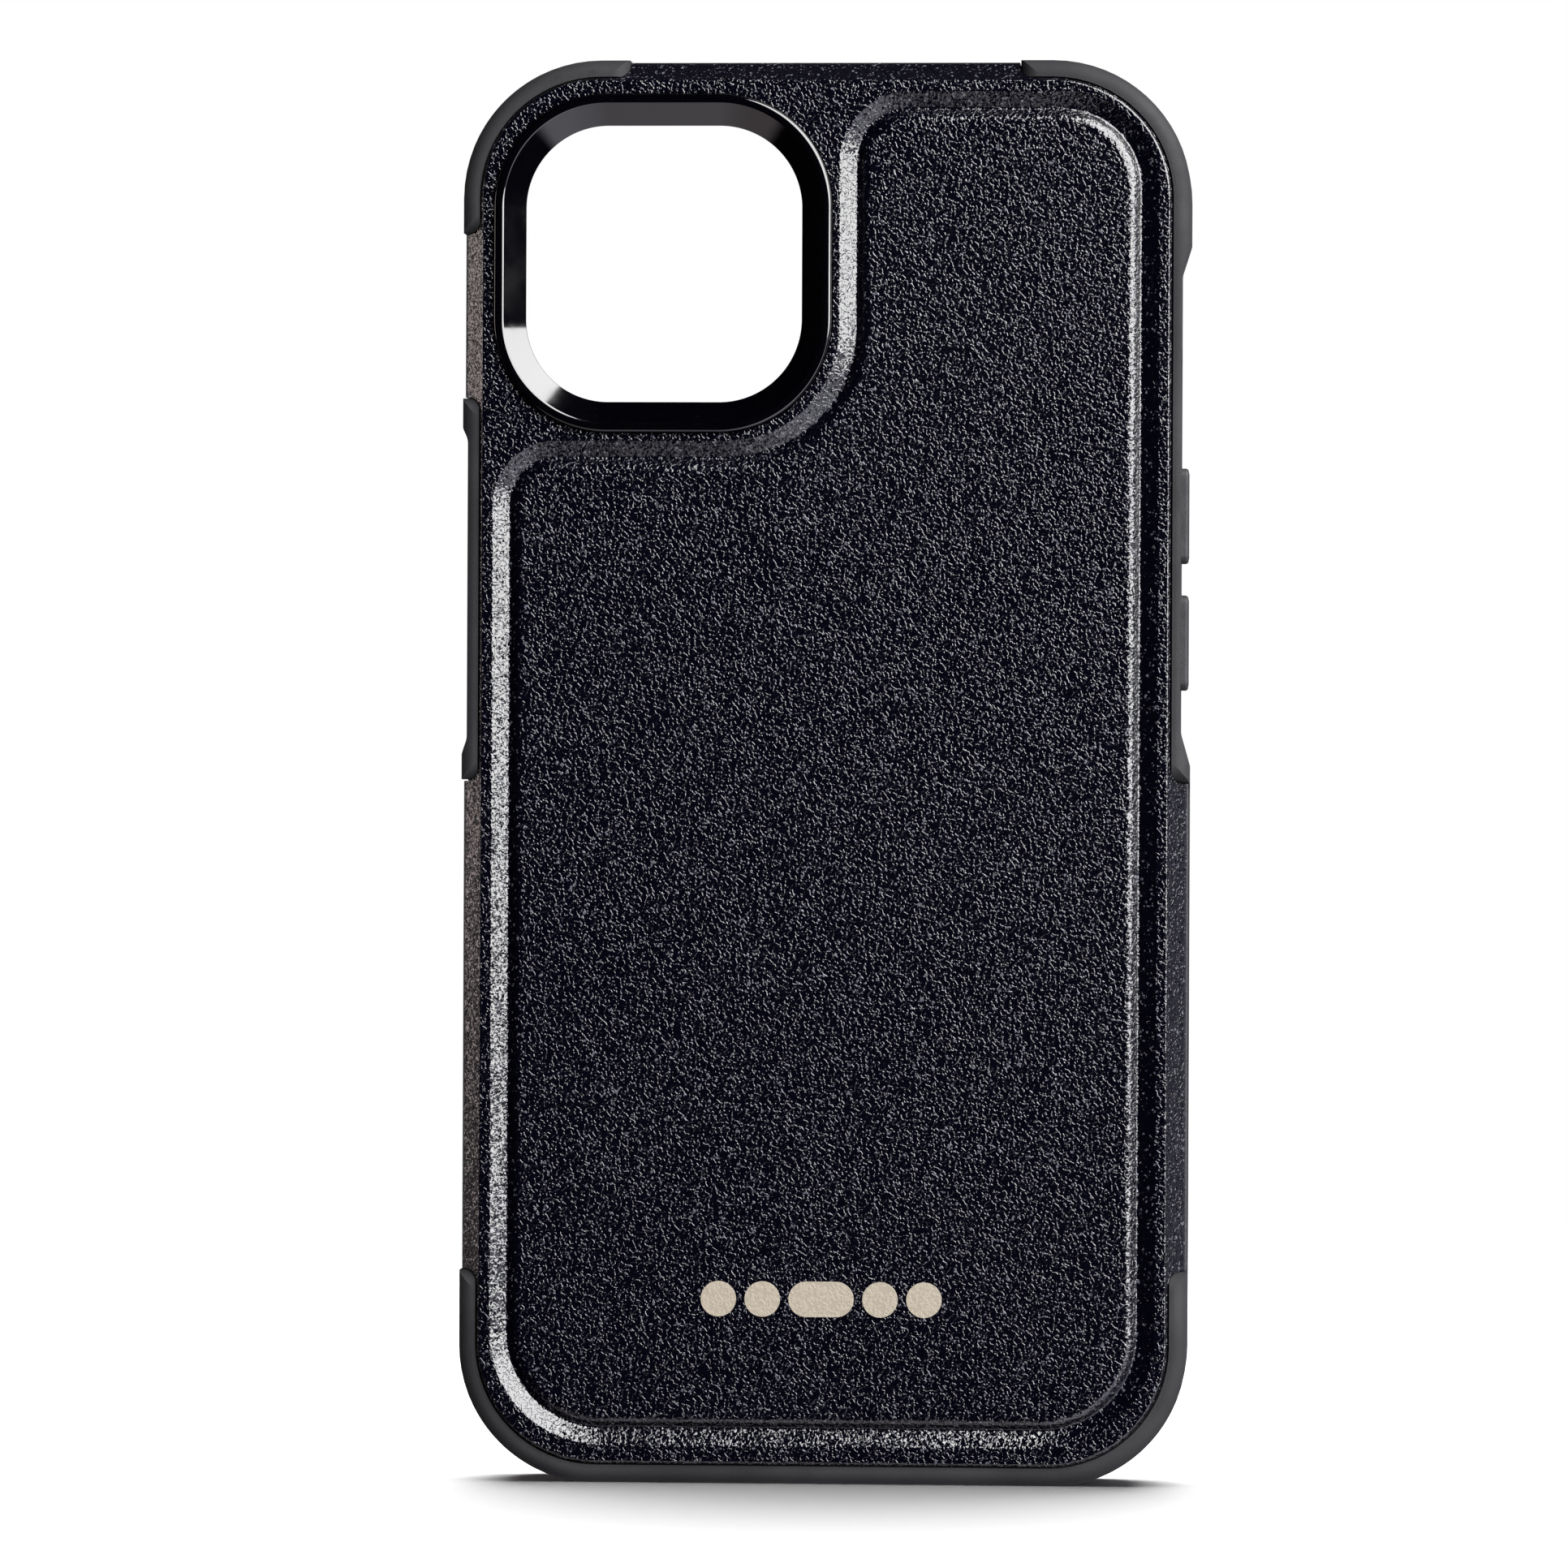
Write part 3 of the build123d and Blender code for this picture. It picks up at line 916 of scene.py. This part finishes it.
@dataclass(frozen=True)
class SoftLight:
    """A soft round light that the camera doesn't see."""

    name: str
    place: Vector
    aim: Vector
    size: float
    glow: float
    colour: Triple = (1.0, 1.0, 1.0)

    def build(self) -> bpy.types.Object:
        """Adds the light. Its power is its radiance times pi times its area."""
        data = bpy.data.lights.new(self.name, "AREA")
        data.shape = "DISK"
        data.size = self.size
        data.energy = self.glow * math.pi * math.pi * self.size * self.size / 4
        data.color = self.colour
        lamp = bpy.data.objects.new(self.name, data)
        bpy.context.scene.collection.objects.link(lamp)
        lamp.location = self.place
        lamp.rotation_mode = "QUATERNION"
        lamp.rotation_quaternion = (self.aim - self.place).to_track_quat("-Z", "Y")
        lamp.visible_camera = False
        return lamp


@dataclass
class Studio:
    """A pale floor, a white surround, one large soft light and weaker ones, and the camera."""

    floor_radius: float = 0.6
    floor_sides: int = 96
    floor_grey: Colour = (0.8, 0.8, 0.8, 1.0)
    floor_fade: tuple[float, float] = (0.35, 0.95)
    middle: Triple = (0.0, 0.0, 0.076)
    key_way: Triple = (0.632, -0.5736, 0.5212)
    key_distance: float = 1.15
    wash_place: Triple = (0.0, 0.4, 1.0)
    fill_way: Triple = (-1.0, 0.3, 0.1)
    fill_colour: Triple = (1.0, 0.86, 0.82)
    left_tint: Colour = (0.42, 0.37, 0.38, 1.0)
    right_tint: Colour = (0.8, 0.8, 0.9, 1.0)
    camera_distance: float = 0.9
    view_width: float = 0.16756
    aim_x: float = -0.0042
    aim_z: float = 0.0748
    yaw_degrees: float = 3.5
    roll_degrees: float = 0.25
    sensor: float = 36.0

    def floor(self) -> bpy.types.Object:
        """A pale disc that fades into the white surround."""
        turn = np.linspace(0, 2 * math.pi, self.floor_sides + 1)[:-1]
        circle = np.stack([np.cos(turn), np.sin(turn), np.zeros_like(turn)], axis=1)
        rim = circle * self.floor_radius
        mesh = bpy.data.meshes.new("floor")
        mesh.from_pydata(rim.tolist(), [], [list(range(len(rim)))])
        disc = bpy.data.objects.new("floor", mesh)
        bpy.context.scene.collection.objects.link(disc)
        canvas = new_canvas(
            "pale_floor", Base_Color=self.floor_grey, Roughness=0.6, Specular_IOR_Level=0.2
        )
        graph = canvas.graph
        away = graph.node("VectorMath", {0: canvas.place}, operation="LENGTH").outputs["Value"]
        near, far = (share * self.floor_radius for share in self.floor_fade)
        canvas.feed("Alpha", graph.ramp(away, near, far, 1.0, 0.0))
        mesh.materials.append(canvas.material)
        disc.visible_glossy = False
        return disc

    def surround(self) -> None:
        """White to the camera; for light, a dim room that glows in three places.

        The glow is the largest of the three: behind the case, fading upwards; straight below it;
        and on the camera's side, low on the right, where 0.75 X - 0.8 Z of the direction is high.
        """
        world = bpy.data.worlds.new("surround")
        bpy.context.scene.world = world
        world.use_nodes = True
        graph = Graph(world.node_tree)
        way = graph.node("TexCoord").outputs["Generated"]
        parts = graph.node("SeparateXYZ", {0: way})
        across, along, up = (parts.outputs[name] for name in "XYZ")
        behind = graph.ramp(along, low=-0.02, high=0.24, start=0.02, end=0.5)
        fading = graph.ramp(up, low=0.15, high=0.7, start=1.0, end=0.2)
        below = graph.ramp(up, low=-0.8, high=-0.68, start=2.2, end=0.0)
        slant = graph.math("MULTIPLY_ADD", across, 0.75, graph.math("MULTIPLY", up, -0.8))
        front = graph.ramp(along, low=-0.5, high=-0.25, start=1.0, end=0.0)
        lower_right = graph.ramp(slant, low=0.58, high=0.8, start=0.0, end=4.0)
        corner = graph.math("MULTIPLY", front, lower_right)
        glow = graph.math("MAXIMUM", graph.math("MULTIPLY", behind, fading), below)
        glow = graph.math("MAXIMUM", glow, corner)
        tint = graph.mix(graph.ramp(across, -0.5, 0.5), self.left_tint, self.right_tint)
        lighting = graph.node("Background", {"Color": tint, "Strength": glow})
        plain = graph.node("Background", {"Color": (1.0, 1.0, 1.0, 1.0), "Strength": 1.0})
        seen = graph.node("LightPath").outputs["Is Camera Ray"]
        both = graph.node("MixShader", {0: seen, 1: lighting.outputs[0], 2: plain.outputs[0]})
        graph.node("OutputWorld", {"Surface": both.outputs[0]})

    @staticmethod
    def share_light(lamp: bpy.types.Object, floor: bpy.types.Object, state: str) -> None:
        """Lets a light fall on the floor only, or on everything but the floor.

        Args:
            lamp: the light.
            floor: the floor.
            state: INCLUDE for the floor only, or EXCLUDE for everything else.
        """
        group = bpy.data.collections.new(lamp.name + "_reach")
        group.objects.link(floor)
        group.collection_objects[0].light_linking.link_state = state
        lamp.light_linking.receiver_collection = group

    def lights(self, floor: bpy.types.Object) -> None:
        """The large soft light up to the right, a floor light behind and a small warm fill."""
        middle = Vector(self.middle)
        key_place = middle + Vector(self.key_way) * self.key_distance
        fill_place = middle + Vector(self.fill_way)
        warm = self.fill_colour
        key = SoftLight("softbox", key_place, middle, size=1.56, glow=18.5)
        wash = SoftLight("floor_wash", Vector(self.wash_place), Vector(), size=1.3, glow=8.6)
        fill = SoftLight("left_fill", fill_place, middle, size=0.32, glow=3.4, colour=warm)
        self.share_light(key.build(), floor, "EXCLUDE")
        self.share_light(wash.build(), floor, "INCLUDE")
        fill.build()

    def camera(self) -> None:
        """The camera, level, a little to the right of square on, and barely rolled."""
        data = bpy.data.cameras.new("camera")
        data.sensor_width = self.sensor
        data.lens = self.sensor * self.camera_distance / self.view_width
        data.clip_start, data.clip_end = 0.05, 20.0
        eye = bpy.data.objects.new("camera", data)
        bpy.context.scene.collection.objects.link(eye)
        yaw = math.radians(self.yaw_degrees)
        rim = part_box("rear_shell")[0].y
        aim = Vector((self.aim_x, rim, self.aim_z))
        back = Vector((math.sin(yaw), -math.cos(yaw), 0.0))
        turn = (-back).to_track_quat("-Z", "Y").to_matrix().to_4x4()
        roll = Matrix.Rotation(math.radians(self.roll_degrees), 4, "Z")
        eye.matrix_world = Matrix.Translation(aim + back * self.camera_distance) @ turn @ roll
        bpy.context.scene.camera = eye

    def build(self) -> None:
        """Sets up the whole studio."""
        scene = bpy.context.scene
        scene.view_settings.view_transform = "Standard"
        self.camera()
        self.surround()
        self.lights(self.floor())


def main() -> None:
    """Builds the studio and every piece of the case in order."""
    logging.basicConfig(level=logging.INFO, format="%(name)s: %(message)s")
    effects = Effects()
    Studio().build()
    Case().build(ShellFinish().build(effects), SLEEVE_FINISH.build(effects))
    CameraBezel().build(BezelFinish().build(effects))
    Buttons().build(BUTTON_FINISH.build(effects))
    PrintedMark().build(InkFinish().build(effects))


if __name__ == "__main__":
    main()
